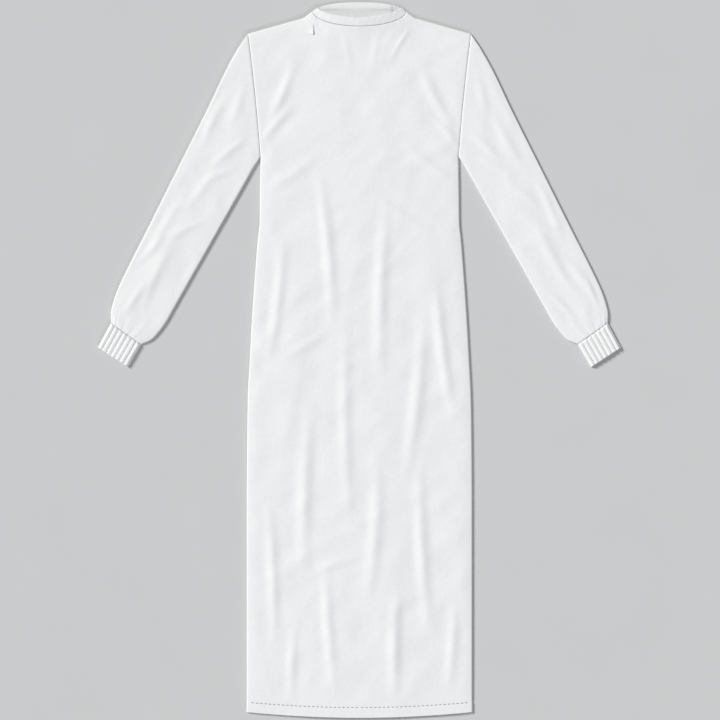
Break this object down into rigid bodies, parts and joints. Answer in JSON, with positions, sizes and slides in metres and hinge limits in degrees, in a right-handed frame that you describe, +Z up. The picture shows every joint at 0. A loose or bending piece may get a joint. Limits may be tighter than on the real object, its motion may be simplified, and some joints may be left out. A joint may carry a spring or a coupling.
{
  "type": "disposable gown",
  "caption": "White long-sleeved disposable gown with a bound round neck and rib-knit cuffs, laid flat with its front up and its back halves lapped.",
  "frame": {"origin": "on the surface that the gown lies on, under the middle of its overall width and length", "axes": "+X towards the wearer's left sleeve, +Y from hem to neck, +Z up, out of the front"},
  "size_m": [0.9156, 1.2522, 0.007],
  "materials": {
    "gown_cloth": "matte nonwoven",
    "cuff_knit": "matte rib knit"
  },
  "bodies": {
    "root": {"front": "gown_cloth", "back_left": "gown_cloth", "back_right": "gown_cloth", "sleeve_left": "gown_cloth", "sleeve_right": "gown_cloth", "neckband": "gown_cloth", "cuff_left": "cuff_knit", "cuff_right": "cuff_knit"}
  },
  "joints": []
}
